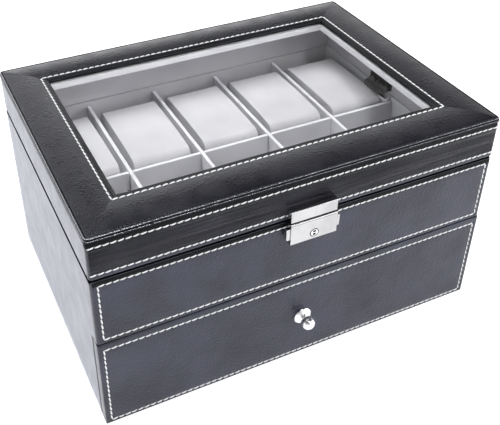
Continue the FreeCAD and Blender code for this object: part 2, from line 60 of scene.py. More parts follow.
# Case boards: the hidden walls of the base, lid and drawer front.
# Pressed fibre board, sawn and rebated, glued into each other under the leather.
# The boards round the drawer are stained black, because their edges show when it is open.
mm = 0.001
board_brown = (0.23, 0.15, 0.085)
board_pale = (0.36, 0.26, 0.16)


def finish(name, color, roughness, metallic=0.0):
    """A new finish with its node tree and main shader."""
    made = bpy.data.materials.new(name)
    made.use_nodes = True
    shader = made.node_tree.nodes["Principled BSDF"]
    shader.inputs["Base Color"].default_value = (*color, 1)
    shader.inputs["Roughness"].default_value = roughness
    shader.inputs["Metallic"].default_value = metallic
    return made, made.node_tree, shader


def add_node(tree, kind, sockets, **settings):
    """A node whose sockets are given as values or as links from other nodes."""
    made = tree.nodes.new(kind)
    for name, value in settings.items():
        setattr(made, name, value)
    for name, value in sockets.items():
        if isinstance(value, bpy.types.NodeSocket):
            tree.links.new(value, made.inputs[name])
        else:
            made.inputs[name].default_value = value
    return made


def speckle(tree, scale, stretch=(1, 1, 1), detail=3.0):
    """Cloudy noise laid on the piece, from 0 to 1."""
    place = add_node(tree, "ShaderNodeTexCoord", {}).outputs["Object"]
    laid = add_node(tree, "ShaderNodeMapping", {"Vector": place, "Scale": stretch}).outputs["Vector"]
    sockets = {"Vector": laid, "Scale": scale, "Detail": detail}
    return add_node(tree, "ShaderNodeTexNoise", sockets).outputs["Fac"]


def between(tree, value, low, high, start=0.35, stop=0.65):
    """A number that runs from low to high as the noise runs from start to stop."""
    sockets = {"Value": value, "From Min": start, "From Max": stop, "To Min": low, "To Max": high}
    return add_node(tree, "ShaderNodeMapRange", sockets).outputs["Result"]


def tint(tree, shader, value, first, second):
    """Colours the shader between two colours."""
    mixed = add_node(tree, "ShaderNodeMix", {0: value, 6: (*first, 1), 7: (*second, 1)}, data_type="RGBA")
    tree.links.new(mixed.outputs[2], shader.inputs["Base Color"])


def relief(tree, shader, *layers):
    """Raises the surface by noise: each layer is a noise and its height in millimetres."""
    normal = None
    for height, rise in layers:
        sockets = {"Height": height, "Distance": rise * mm, "Strength": 1.0}
        if normal:
            sockets["Normal"] = normal
        normal = add_node(tree, "ShaderNodeBump", sockets).outputs["Normal"]
    tree.links.new(normal, shader.inputs["Normal"])


def dress(material, *names):
    """Gives CAD nodes their finish."""
    for name in names:
        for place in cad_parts[name].material_slots:
            place.material = material


fibre_board, tree, shader = finish("fibre_board", board_brown, 0.85)
tint(tree, shader, between(tree, speckle(tree, 900, (1, 1, 0.4)), 0, 1), board_brown, board_pale)
relief(tree, shader, (speckle(tree, 1500), 0.05))
dress(fibre_board, "base_back_board", "lid_left_board", "lid_right_board", "lid_back_board",
      "lid_front_board", "lid_top_board")
stain_black = (0.012, 0.011, 0.010)
stain_worn = (0.035, 0.030, 0.026)
stained_board, tree, shader = finish("stained_board", stain_black, 0.8)
tint(tree, shader, between(tree, speckle(tree, 900, (1, 1, 0.4)), 0, 1), stain_black, stain_worn)
relief(tree, shader, (speckle(tree, 1500), 0.05))
dress(stained_board, "base_left_board", "base_right_board", "base_front_board", "drawer_front_board")

# Bottom board: closes the case under the drawer.
# Thin fibre board faced with black felt, so that the box stands without marking a table.
felt_black = (0.012, 0.012, 0.013)
felt_worn = (0.035, 0.035, 0.037)
felt, tree, shader = finish("underside_felt", felt_black, 0.95)
tint(tree, shader, between(tree, speckle(tree, 700, (1, 0.3, 1)), 0, 1), felt_black, felt_worn)
relief(tree, shader, (speckle(tree, 1600, (1, 0.3, 1)), 0.15))
shader.inputs["Sheen Weight"].default_value = 0.3
dress(felt, "base_bottom_board")

# Tray deck, linings and dividers: the pale insert under the window.
# Card and thin board wrapped in short-pile velvet, the dividers halved into each other.
velvet_shade = (0.57, 0.57, 0.60)
velvet_light = (0.65, 0.65, 0.68)
# Painted shade: the upright walls of the tray and the lid take a darker copy of the velvet, standing in for
# the shade inside the box.
wall_painted_shade_dark = (0.38, 0.375, 0.40)
wall_painted_shade_pale = (0.44, 0.435, 0.46)


def velvet(name, shade, light):
    """Short pile: cloudy colour, a fine nap and a soft bloom at its edges."""
    made, tree, shader = finish(name, light, 0.9)
    tint(tree, shader, between(tree, speckle(tree, 28, (1, 1, 1), 5), 0, 1), shade, light)
    relief(tree, shader, (speckle(tree, 90), 0.04), (speckle(tree, 2200), 0.06))
    shader.inputs["Sheen Weight"].default_value = 0.25
    shader.inputs["Sheen Roughness"].default_value = 0.5
    shader.inputs["Specular IOR Level"].default_value = 0.2
    return made


def soften(width, segments, *names):
    """Rounds the sharp edges of CAD nodes."""
    for name in names:
        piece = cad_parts[name]
        piece.modifiers.new("weld", "WELD").merge_threshold = 0.00001
        edge = piece.modifiers.new("round", "BEVEL")
        edge.width = width * mm
        edge.segments = segments
        edge.limit_method = "ANGLE"
        edge.angle_limit = math.radians(35)
        edge.harden_normals = True


velvet_lining = velvet("velvet_lining", velvet_shade, velvet_light)
wall_velvet_painted_shade = velvet("wall_velvet_painted_shade", wall_painted_shade_dark, wall_painted_shade_pale)
tray_insert = [f"tray_lining_{side}" for side in ("left", "right", "back", "front")] + ["tray_long_divider"]
tray_insert += [f"tray_cross_divider_{number}" for number in (1, 2, 3, 4)]
dress(velvet_lining, "tray_deck", "strap_pockets", *tray_insert)
# The tray's back wall takes the darker velvet: painted shade.
dress(wall_velvet_painted_shade, "tray_lining_back")
soften(0.7, 3, *tray_insert)
soften(0.2, 2, "strap_pockets")

# Base leather: covers the outside of the base, turns over the rim and ends inside the wall.
# Black grained leather, stretched and glued over the boards, cut out for the drawer front.
leather_black = (0.009, 0.0095, 0.016)
leather_grey = (0.028, 0.030, 0.047)
thickness = 0.8
half_width = 142.5
half_depth = 102.5
corner = 2.5
thread_line = 0.7
thread_sink = 0.32
base_stitch_low = 77.5
base_stitch_high = 121.0
base_stitch_side = 138.0
drawer_gap_top = 74.4
drawer_gap_back = -94.2
gap_round = 0.8
rim_seam = 123.9
rim_seam_front = 124.6


def leather(name, dark, light, smooth, rough, bloom=1.0, shine=0.5, streaks=0.0, dimples=0.05, grain=0.18,
            mirror=1.5):
    """Grained leather: pebbles, soft creases and worn gloss."""
    made, tree, shader = finish(name, dark, rough)
    cloud = speckle(tree, 30, (1, 1, 1), 8)
    tint(tree, shader, between(tree, cloud, 0, 1), dark, light)
    place = add_node(tree, "ShaderNodeTexCoord", {}).outputs["Object"]
    pebbles = add_node(tree, "ShaderNodeTexVoronoi", {"Vector": place, "Scale": 850, "Randomness": 0.95},
                       feature="SMOOTH_F1").outputs["Distance"]
    creases = speckle(tree, 40, (0.25, 0.25, 4.5), 6)
    layers = [(speckle(tree, 260, (1, 1, 1), 4), dimples), (pebbles, grain)]
    if streaks:
        layers.insert(0, (creases, streaks))
    relief(tree, shader, *layers)
    gloss = creases if streaks else speckle(tree, 75, (1, 1, 1), 5)
    tree.links.new(between(tree, gloss, smooth, rough), shader.inputs["Roughness"])
    shader.inputs["IOR"].default_value = mirror
    shader.inputs["Specular IOR Level"].default_value = shine
    shader.inputs["Sheen Weight"].default_value = bloom
    shader.inputs["Sheen Roughness"].default_value = 0.25
    shader.inputs["Sheen Tint"].default_value = (0.86, 0.88, 1.0, 1)
    shader.inputs["Specular Tint"].default_value = (0.88, 0.90, 1.0, 1)
    return made


def outline(columns_x, columns_y, turns=6):
    """Stations round the box, counter-clockwise from the front left, each with its outward direction."""
    straight_x = half_width - corner
    straight_y = half_depth - corner
    along_x = sorted({-straight_x, straight_x} | set(columns_x))
    along_y = sorted({-straight_y, straight_y} | set(columns_y))

    def bend(centre_x, centre_y, start):
        turned = [math.radians(start + 90 * step / turns) for step in range(1, turns)]
        ways = [(math.cos(angle), math.sin(angle)) for angle in turned]
        return [(centre_x + corner * out_x, centre_y + corner * out_y, out_x, out_y) for out_x, out_y in ways]

    return (
        [(x, -half_depth, 0, -1) for x in along_x] + bend(straight_x, -straight_y, -90)
        + [(half_width, y, 1, 0) for y in along_y] + bend(straight_x, straight_y, 0)
        + [(x, half_depth, 0, 1) for x in reversed(along_x)] + bend(-straight_x, straight_y, 90)
        + [(-half_width, y, -1, 0) for y in reversed(along_y)] + bend(-straight_x, -straight_y, 180)
    )


def inset(station, depth):
    """The station moved inward, with square corners once it is past the round."""
    x, y, out_x, out_y = station
    reach_x = half_width - depth
    reach_y = half_depth - depth
    return (max(-reach_x, min(reach_x, x - out_x * depth)), max(-reach_y, min(reach_y, y - out_y * depth)))


def sunk(distance):
    """How far the leather is drawn in by a thread line at this distance."""
    return thread_sink * math.exp(-(distance / thread_line) ** 2)


def beside(*lines):
    """Mesh lines close to each thread line, where the leather dips."""
    return [line + step * thread_line for line in lines for step in (-2, -1.2, -0.6, 0, 0.6, 1.2, 2)]


def steps(start, stop, count):
    """Even steps from start to stop, both ends included."""
    return [start + (stop - start) * step / count for step in range(count + 1)]


def piece_of(name, points, faces, material, body, slot, smooth=True):
    """A mesh piece, given in millimetres, that rides on a body where it has only one."""
    mesh = bpy.data.meshes.new(name)
    mesh.from_pydata([[value * mm for value in spot] for spot in points], [], faces)
    shape = bmesh.new()
    shape.from_mesh(mesh)
    bmesh.ops.remove_doubles(shape, verts=shape.verts, dist=0.000002)
    bmesh.ops.dissolve_degenerate(shape, edges=shape.edges, dist=0.000001)
    for face in shape.faces:
        face.smooth = smooth
    shape.to_mesh(mesh)
    shape.free()
    mesh.materials.append(material)
    piece = bpy.data.objects.new(name, mesh)
    bpy.context.scene.collection.objects.link(piece)
    if body:
        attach(piece, body)
    return piece


def quilt(rows, closed, keep=None):
    """Points and faces of a grid of rows; keep says which faces stay."""
    wide = len(rows[0])
    points = [spot for row in rows for spot in row]
    faces = []
    for level in range(len(rows) - 1):
        for at in range(wide if closed else wide - 1):
            ahead = (at + 1) % wide
            low, high = level * wide, (level + 1) * wide
            face = (low + at, low + ahead, high + ahead, high + at)
            if keep is None or keep([sum(points[i][axis] for i in face) / 4 for axis in range(3)]):
                faces.append(face)
    return points, faces


def thicken(piece, depth=thickness):
    """Gives a sheet its thickness, on its inner side."""
    skin = piece.modifiers.new("leather thickness", "SOLIDIFY")
    skin.thickness = depth * mm
    skin.offset = -1


def leather_cover(name, sheet, material, body, node, depth=thickness):
    """A glued leather piece, given as points and faces, in place of a CAD node."""
    piece = piece_of(name, *sheet, material, body, "black_leather")
    thicken(piece, depth)
    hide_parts(node)


def waviness(x, y, z, size=0.05):
    """Small unevenness of leather glued over board."""
    return size * noise.noise(Vector((x, y, z)) / 14)


def base_dip(x, y, z):
    """How far the base leather is drawn in at a point."""
    dip = waviness(x, y, z)
    if y < 0.5 - half_depth:
        if abs(x) < base_stitch_side + 2:
            dip = max(dip, sunk(z - base_stitch_low), sunk(z - base_stitch_high))
        if base_stitch_low - 1 < z < base_stitch_high + 1:
            dip = max(dip, sunk(abs(x) - base_stitch_side))
        above_gap = z - drawer_gap_top
        if 0 <= above_gap < gap_round:
            dip += gap_round - math.sqrt(max(0, gap_round ** 2 - (gap_round - above_gap) ** 2))
    return dip


base_leather = leather("black_leather", leather_black, leather_grey, 0.28, 0.40, bloom=1.0, shine=0.6)
stations = outline(beside(-base_stitch_side, base_stitch_side) + steps(-132, 132, 22),
                   [drawer_gap_back] + steps(-90, 90, 15))
wall_heights = ([1.3, 10, 25, 40, 55, 68, 73, 74.4, 74.45, 74.6, 74.85, 75.2] + beside(base_stitch_low)
                + steps(84, 116, 4) + beside(base_stitch_high))
foot_turn = [(0.8, 0.8, 0.5), (0.2, 0.2, 0.7)]
rim_turn = [(0, 0.06, 123.2), (0, 0.22, 124.0), (0.02, 0.42, 124.45), (0.14, 0.6, 124.75),
            (0.45, 0.72, 124.95), (0.7, 0.78, 125.2), (1.1, 1.2, 125.45), (1.9, 2.0, 125.8),
            (2.8, 2.8, 126.0), (4.6, 4.6, 126.0), (5.15, 5.15, 125.85), (5.3, 5.3, 125.3), (5.3, 5.3, 118.7)]
rows = []
for depth, front_depth, height in foot_turn + [(0, 0, height) for height in wall_heights] + rim_turn:
    row = []
    for station in stations:
        dip = base_dip(station[0], station[1], height) if depth == 0 else 0
        front_share = max(0, -station[3])
        row.append((*inset(station, depth + (front_depth - depth) * front_share + dip), height))
    rows.append(row)


def on_rim(middle):
    """Whether a face with this middle lies on the rolled rim."""
    return middle[2] > (rim_seam_front if middle[1] < 1 - half_depth else rim_seam)


def on_front(middle):
    """Whether it lies on the front wall, above the drawer."""
    return middle[1] < 0.35 - half_depth and drawer_gap_top < middle[2] and not on_rim(middle)


def on_panel(middle):
    """Whether it lies inside the front's thread lines."""
    inside_sides = abs(middle[0]) < base_stitch_side
    return on_front(middle) and inside_sides and base_stitch_low < middle[2] < base_stitch_high


def on_upper_border(middle):
    """Whether it lies above the front's upper thread line, in the shade of the lid."""
    return on_front(middle) and middle[2] > base_stitch_high


def on_border(middle):
    """Whether it lies between the other thread lines and the edges of the front."""
    return on_front(middle) and not on_panel(middle) and not on_upper_border(middle)


def on_wall(middle):
    """Whether it lies on the sides or the back, or beside the drawer opening."""
    covered = middle[2] > drawer_gap_top or middle[1] > drawer_gap_back
    return covered and not on_rim(middle) and not on_front(middle)


panel_black, panel_grey = (0.007, 0.008, 0.016), (0.024, 0.026, 0.047)
border_black, border_grey = (0.006, 0.007, 0.013), (0.022, 0.024, 0.042)
# Painted shade: near-black copies of the leather, with little or no gloss and no sheen, laid where shade
# falls: in the grooves of the lid's edge, on the band just under it, on the front strip under the lid and on
# the rim of the base.
painted_shade_black, painted_shade_grey = (0.002, 0.002, 0.003), (0.005, 0.005, 0.006)
panel_leather = leather("panel_leather", panel_black, panel_grey, 0.28, 0.40, bloom=0.43, shine=0.48,
                        grain=0.25)
border_leather = leather("border_leather", border_black, border_grey, 0.28, 0.40, bloom=0.42, shine=0.48)
painted_shade_leather = leather("painted_shade_leather", painted_shade_black, painted_shade_grey, 0.40, 0.52, bloom=0.0, shine=0.12)
rim_painted_shade_leather = leather("rim_painted_shade_leather", painted_shade_black, painted_shade_grey, 0.50, 0.62, bloom=0.0, shine=0.0)
# The strip under the lid and the rim of the base take the painted-shade leather.
for name, material, keep in (("base_leather", base_leather, on_wall),
                             ("base_panel_leather", panel_leather, on_panel),
                             ("base_border_leather", border_leather, on_border),
                             ("base_upper_border", painted_shade_leather, on_upper_border),
                             ("base_rim_painted_shade", rim_painted_shade_leather, on_rim)):
    leather_cover(name, quilt(rows, True, keep), material, "base", "base_leather_wrap")

# Base stitching: a row of white thread round the front panel.
# Waxed polyester, sewn at a 4.4 mm pitch; each stitch lies a little slanted in its groove.
stitch_pitch = 4.4
stitch_length = 4.15
stitch_slant = 0.14
stitch_bed = 0.12
thread_radius = 0.47
thread_white = (0.96, 0.97, 0.98)
thread_shade = (0.88, 0.89, 0.90)
thread, tree, shader = finish("white_thread", thread_white, 0.6)
tint(tree, shader, between(tree, speckle(tree, 1500, (1, 1, 1)), 0, 1), thread_shade, thread_white)
relief(tree, shader, (speckle(tree, 3000, (1, 1, 1)), 0.08))
shader.inputs["Sheen Weight"].default_value = 1.0
# Rings along one stitch: the place along it, the size and the height above the leather.
stitch_rings = [(-0.5, 0.25, -0.42), (-0.44, 0.75, -0.22), (-0.28, 1, 0), (0, 1.08, 0.05), (0.28, 1, 0),
                (0.44, 0.75, -0.22), (0.5, 0.25, -0.42)]


def stitching(name, lines, body):
    """Rows of stitches; each line is its two ends and the leather's outward direction."""
    points = []
    faces = []
    ring = 8
    for first, last, out in lines:
        first, last, out = Vector(first), Vector(last), Vector(out)
        along = (last - first).normalized()
        across = out.cross(along)
        count = max(1, round((last - first).length / stitch_pitch))
        pitch = (last - first).length / count
        slant = (along + across * stitch_slant).normalized()
        side = out.cross(slant)
        for number in range(count):
            middle = first + along * pitch * (number + 0.5)
            start = len(points)
            for reach, size, sink in stitch_rings:
                heart = middle + slant * reach * stitch_length + out * (sink - stitch_bed)
                for turn in range(ring):
                    angle = 2 * math.pi * turn / ring
                    around = side * math.cos(angle) + out * 0.85 * math.sin(angle)
                    points.append(heart + around * thread_radius * size)
            for level in range(len(stitch_rings) - 1):
                for turn in range(ring):
                    ahead = (turn + 1) % ring
                    low = start + level * ring
                    faces.append((low + turn, low + ahead, low + ring + ahead, low + ring + turn))
            faces.append(tuple(start + turn for turn in reversed(range(ring))))
            faces.append(tuple(len(points) - ring + turn for turn in range(ring)))
    return piece_of(name, points, faces, thread, body, "black_leather")


def framed(low_x, high_x, low_z, high_z, y):
    """Four thread lines on a front panel."""
    out = (0, -1, 0)
    return [((low_x, y, low_z), (high_x, y, low_z), out), ((low_x, y, high_z), (high_x, y, high_z), out),
            ((low_x, y, low_z), (low_x, y, high_z), out), ((high_x, y, low_z), (high_x, y, high_z), out)]


base_threads = framed(-base_stitch_side, base_stitch_side, base_stitch_low, base_stitch_high, -half_depth)
stitching("base_stitching", base_threads, "base")

# Tray cushions: ten watch pillows, one in each cell, for a strap to go round.
# Velvet bands sewn to two flat side panels over soft foam; they stand loose in the cells.
cushion_size = (42.6, 77.0, 38.4)
end_round = 7.0
foot_round = 3.0
top_crown = 0.8
growth_limit = 0.003
foot_height = 0.0004
settling_frames = 20
tray_cell_columns = (-108, -54, 0, 54, 108)
tray_floor = 77.4
tray_rear_row = 45.0
tray_front_row = -55.6
cushion_shade = (0.475, 0.475, 0.50)
cushion_light = (0.545, 0.545, 0.565)
cushion_velvet = velvet("cushion_velvet", cushion_shade, cushion_light)


def pillow_edge():
    """Side view of a pillow, front to back over the top: flat foot, round ends and a crowned top."""
    half = cushion_size[1] / 2
    high = cushion_size[2]
    foot = foot_round
    crown_end = half - end_round
    edge = [(y, 0) for y in steps(half - foot, foot - half, 18)]
    edge += [(-half + foot * (1 - math.sin(a)), foot * (1 - math.cos(a)))
             for a in steps(math.radians(30), math.radians(90), 2)]
    edge += [(-half, height) for height in steps(foot + 3, high - end_round - 3, 4)]
    edge += [(-half + end_round * (1 - math.cos(a)), high - end_round + end_round * math.sin(a))
             for a in steps(0, math.pi / 2, 7)]
    edge += [(y, high + top_crown * (1 - (y / crown_end) ** 2))
             for y in steps(4 - crown_end, crown_end - 4, 10)]
    edge += [(half - end_round * (1 - math.sin(a)), high - end_round + end_round * math.cos(a))
             for a in steps(0, math.pi / 2, 7)]
    edge += [(half, height) for height in steps(high - end_round - 3, foot + 3, 4)]
    edge += [(half - foot * (1 - math.cos(a)), foot * (1 - math.sin(a)))
             for a in steps(0, math.radians(60), 2)]
    return edge


def pillow(name, pressure):
    """A pillow mesh blown up by cloth simulation, resting on its foot, with its two side seams."""
    edge = pillow_edge()
    around = len(edge)
    half = cushion_size[0] / 2
    middle = (0, cushion_size[2] * 0.5)
    shares = (0.08, 0.3, 0.5, 0.7, 0.86)
    columns = 12

    def side_ring(x, share):
        """A smaller ring on a side panel."""
        return [(x, *[middle[i] + (spot[i] - middle[i]) * share for i in (0, 1)]) for spot in edge]

    rows = [side_ring(-half, share) for share in shares]
    rows += [[(x, *spot) for spot in edge] for x in steps(-half, half, columns)]
    rows += [side_ring(half, share) for share in reversed(shares)]
    seam_rows = (len(shares), len(shares) + columns)
    points, faces = quilt(rows, True)
    faces.append(tuple(range(around)))
    faces.append(tuple(reversed(range(len(points) - around, len(points)))))
    mesh = bpy.data.meshes.new(name)
    mesh.from_pydata([[value * mm for value in spot] for spot in points], [], faces)
    shape = bmesh.new()
    shape.from_mesh(mesh)
    bmesh.ops.recalc_face_normals(shape, faces=shape.faces)
    shape.to_mesh(mesh)
    shape.free()
    piece = bpy.data.objects.new(name, mesh)
    bpy.context.scene.collection.objects.link(piece)
    start = [spot.co.copy() for spot in mesh.vertices]
    foot = piece.vertex_groups.new(name="foot")
    foot.add([spot.index for spot in mesh.vertices if spot.co.z < foot_height], 1.0, "REPLACE")
    seam = [row * around + at for row in seam_rows for at in range(around)]
    foot.add([at for at in seam if start[at].z >= foot_height], 0.7, "REPLACE")
    blown = piece.modifiers.new("blown", "CLOTH")
    blown.settings.use_pressure = True
    blown.settings.uniform_pressure_force = pressure
    blown.settings.effector_weights.gravity = 0
    blown.settings.vertex_group_mass = "foot"
    blown.settings.quality = 6
    blown.settings.tension_stiffness = 20
    blown.settings.compression_stiffness = 20
    blown.settings.bending_stiffness = 2
    for moment in range(1, settling_frames + 1):
        bpy.context.scene.frame_set(moment)
    grown = piece.evaluated_get(bpy.context.evaluated_depsgraph_get()).data
    reached = [spot.co.copy() for spot in grown.vertices]
    piece.modifiers.clear()
    piece.vertex_groups.clear()
    for spot, begun, ended in zip(mesh.vertices, start, reached):
        move = ended - begun
        if move.length > growth_limit:
            move *= growth_limit / move.length
        spot.co = begun + move
        spot.co.z = max(spot.co.z, 0)
    bpy.context.scene.frame_set(1)
    shape = bmesh.new()
    shape.from_mesh(mesh)
    shape.verts.ensure_lookup_table()
    for row in seam_rows:
        for at in range(around):
            ends = [shape.verts[row * around + spot % around] for spot in (at, at + 1)]
            shape.edges.get(ends).smooth = False
    bmesh.ops.subdivide_edges(shape, edges=shape.edges, cuts=1, use_grid_fill=True, smooth=0.3)
    for spot in shape.verts:
        spot.co.z = max(spot.co.z, 0)
    for face in shape.faces:
        face.smooth = True
    shape.to_mesh(mesh)
    shape.free()
    mesh.materials.append(cushion_velvet)
    bpy.data.objects.remove(piece)
    return mesh


pillows = [pillow("pillow_firm", 1.9), pillow("pillow_soft", 1.4)]
hand_turns = (0.5, -0.4, 0.2, -0.3, 0.4)


def set_cushions(row, columns, depth, floor, body):
    """One row of pillows in its cells, each turned a little by hand."""
    for number, column in enumerate(columns):
        piece = bpy.data.objects.new(f"{row}_{number + 1}", pillows[number % 2])
        bpy.context.scene.collection.objects.link(piece)
        piece.location = (column * mm, depth * mm, floor * mm)
        piece.rotation_euler.z = math.radians(hand_turns[number])
        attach(piece, body)
        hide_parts(row)


set_cushions("tray_cushions_rear", tray_cell_columns, tray_rear_row, tray_floor, "base")
set_cushions("tray_cushions_front", tray_cell_columns, tray_front_row, tray_floor, "base")

# Drawer box: sides, back, bottom and the same divided cells as the tray.
# Thin board wrapped in velvet, glued round a bottom panel; it slides in the open front of the base.
drawer_insert = ["drawer_right_side", "drawer_left_side", "drawer_back", "drawer_long_divider",
                 "drawer_cross_dividers"]
dress(velvet_lining, "drawer_bottom", *drawer_insert)
soften(0.6, 3, *drawer_insert)
drawer_cell_columns = (-106.72, -53.36, 0, 53.36, 106.72)
drawer_floor = 7.6
drawer_rear_row = 44.625
drawer_front_row = -48.125
set_cushions("drawer_cushions_rear", drawer_cell_columns, drawer_rear_row, drawer_floor, "drawer")
set_cushions("drawer_cushions_front", drawer_cell_columns, drawer_front_row, drawer_floor, "drawer")

# Drawer front leather: wraps the drawer front and its four edges.
# The same grained leather as the base, with its own line of white thread inside the edges.
drawer_low = 0.5
drawer_high = 73.4
drawer_stitch_side = 138.7
drawer_stitch_low = 3.4
drawer_stitch_high = 68.3


def wrapped(low, high, inner):
    """One way across the drawer front: each value with how far back the leather lies there."""
    turn = [(0, 8.0), (0, 4.0), (0, 1.0), (0.08, 0.62), (0.3, 0.3), (0.62, 0.08), (1.0, 0.0)]
    return ([(low + step, back) for step, back in turn] + [(value, 0.0) for value in inner]
            + [(high - step, back) for step, back in reversed(turn)])


across = wrapped(-half_width, half_width,
                 sorted(beside(-drawer_stitch_side, drawer_stitch_side) + steps(-132, 132, 24)))
upward = wrapped(drawer_low, drawer_high,
                 beside(drawer_stitch_low) + steps(9, 63, 6) + beside(drawer_stitch_high))
rows = []
for z, back_z in upward:
    row = []
    for x, back_x in across:
        back = max(back_x, back_z)
        if back == 0:
            back = waviness(x, 50, z)
            if abs(x) < drawer_stitch_side + 1:
                back = max(back, sunk(z - drawer_stitch_low), sunk(z - drawer_stitch_high))
            if drawer_stitch_low - 1 < z < drawer_stitch_high + 1:
                back = max(back, sunk(abs(x) - drawer_stitch_side))
        row.append((x, -half_depth + back, z))
    rows.append(row)


def inside_thread(middle):
    """Whether a face with this middle lies inside the drawer's thread lines."""
    return abs(middle[0]) < drawer_stitch_side and drawer_stitch_low < middle[2] < drawer_stitch_high


def outside_thread(middle):
    """Whether it lies between them and the edges."""
    return not inside_thread(middle)


for name, material, keep in (("drawer_front_leather", panel_leather, inside_thread),
                             ("drawer_border_leather", border_leather, outside_thread)):
    leather_cover(name, quilt(rows, False, keep), material, "drawer", "drawer_front_cover")
drawer_threads = framed(-drawer_stitch_side, drawer_stitch_side, drawer_stitch_low, drawer_stitch_high,
                        -half_depth)
stitching("drawer_stitching", drawer_threads, "drawer")

# Drawer knob: a turned ball on a waist and a round flange, screwed through the drawer front.
# Bright chromed metal with a faint haze of fine polishing lines.
metal_light = (0.93, 0.93, 0.95)
metal_shade = (0.84, 0.84, 0.86)


def bright(name, shade, light, smooth, rough, lines=(1, 1, 1)):
    """Plated metal whose polish varies a little."""
    made, tree, shader = finish(name, light, rough, 1.0)
    tint(tree, shader, between(tree, speckle(tree, 60), 0, 1), shade, light)
    tree.links.new(between(tree, speckle(tree, 200, lines), smooth, rough), shader.inputs["Roughness"])
    return made


knob_metal = bright("knob_metal", metal_shade, metal_light, 0.20, 0.30)
dress(knob_metal, "drawer_knob")
soften(0.25, 3, "drawer_knob")

# Lid glass and its frame: a clear pane laid under the window edge.
# Float glass, held up by a velvet-lined card frame and the cards that line the lid walls.
glass, tree, shader = finish("window_glass", (0.985, 0.985, 0.985), 0.0)
shader.inputs["Transmission Weight"].default_value = 1.0
shader.inputs["IOR"].default_value = 1.09
tree.links.new(between(tree, speckle(tree, 12), 0.0, 0.02), shader.inputs["Roughness"])
through = add_node(tree, "ShaderNodeBsdfTransparent", {"Color": (0.963, 0.963, 0.963, 1)})
shade_rays = add_node(tree, "ShaderNodeLightPath", {}).outputs["Is Shadow Ray"]
pane = add_node(tree, "ShaderNodeMixShader", {0: shade_rays, 1: shader.outputs[0], 2: through.outputs[0]})
tree.links.new(pane.outputs[0], tree.nodes["Material Output"].inputs["Surface"])
dress(glass, "lid_glass")
dress(velvet_lining, "lid_glass_retainer")
# The lid's wall linings take the darker velvet: painted shade.
dress(wall_velvet_painted_shade, "lid_side_linings", "lid_end_linings")
soften(0.6, 3, "lid_glass_retainer", "lid_side_linings", "lid_end_linings")

# Lid top leather: a frame of leather round the window, turned down over its edges.
# Smooth black leather, glued to the top board, with a thread line round the window.
lid_top = 157.0
window_half = 113.0
window_front = -70.5
window_back = 74.5
window_stitch = 4.6
window_lip = 3.4
rail_crown = 0.8
edge_inset = 2.2
thread_margin = 6.2
lid_dark = (0.004, 0.004, 0.007)
lid_light = (0.011, 0.011, 0.016)
lid_leather = leather("lid_leather", lid_dark, lid_light, 0.24, 0.40, bloom=0.18, shine=0.50, dimples=0.010,
                      grain=0.16)


def window_edge(station, away):
    """The point on the window's edge, moved outward, that faces a station."""
    x = max(-window_half - away, min(window_half + away, station[0]))
    y = max(window_front - away, min(window_back + away, station[1]))
    return x, y


stations = outline(steps(-138, 138, 23), steps(-98, 98, 16))
crest_black, crest_grey = (0.004, 0.004, 0.005), (0.012, 0.012, 0.014)
crest_leather = leather("crest_leather", crest_black, crest_grey, 0.16, 0.34, bloom=0.0, shine=1.0,
                        grain=0.30, mirror=2.0)


def roll(depth, height, radius, start, stop):
    """Section through a rolled edge, from one angle up to another; 90 degrees looks up, 0 looks out."""
    turned = steps(math.radians(start), math.radians(stop), 6)
    return [(depth - radius * math.cos(a), height + radius * math.sin(a)) for a in turned]


def rings(section):
    """Rows round the box for a section of depths and heights."""
    return [[(*inset(station, depth), height) for station in stations] for depth, height in section]


lower_roll = (0.25, 154.55, 0.75)
upper_roll = (0.95, 156.05, 0.92)
# The grooves between the rolls take the painted-shade leather: painted shade.
edge_parts = [
    ("lid_lower_groove", painted_shade_leather, [(0.8, 153.9), (0.9, 153.95)] + roll(*lower_roll, -60, 32)),
    ("lid_lower_crest", crest_leather, roll(*lower_roll, 32, 78)),
    ("lid_upper_groove", painted_shade_leather,
     roll(*lower_roll, 78, 100) + [(0.75, 155.35)] + roll(*upper_roll, -34, 30)),
    ("lid_upper_crest", crest_leather, roll(*upper_roll, 30, 80)),
    ("lid_inner_groove", painted_shade_leather, roll(*upper_roll, 80, 110) + [(1.7, 156.6)])]
for name, material, section in edge_parts:
    leather_cover(name, quilt(rings(section), True), material, "lid", "lid_top_cover", 0.4)
rows = rings([(1.7, 156.6), (1.9, 156.9), (edge_inset, lid_top)])
for share in (0.08, 0.2, 0.35, 0.5, 0.65, 0.8, 0.92):
    row = []
    for station in stations:
        from_edge = inset(station, edge_inset)
        to_window = window_edge(station, thread_margin)
        x, y = [a + (b - a) * share for a, b in zip(from_edge, to_window)]
        row.append((x, y, lid_top + rail_crown * 4 * share * (1 - share) - waviness(x, y, 0, 0.03)))
    rows.append(row)
for away in reversed(beside(window_stitch)):
    rows.append([(*window_edge(station, away), lid_top - sunk(away - window_stitch)) for station in stations])
rows.append([(*window_edge(station, window_lip - 0.3), 156.6) for station in stations])
leather_cover("lid_top_leather", quilt(rows, True), lid_leather, "lid", "lid_top_cover")
lip = [(3.3, 156.4), (3.1, 156.85), (2.6, 157.05), (2.1, 157.0), (1.7, 156.75), (1.45, 156.6), (1.1, 156.65),
       (0.6, 156.45), (0.2, 156.0), (0, 155.3), (0, 154.1)]
rows = [[(*window_edge(station, away), height) for station in stations] for away, height in lip]
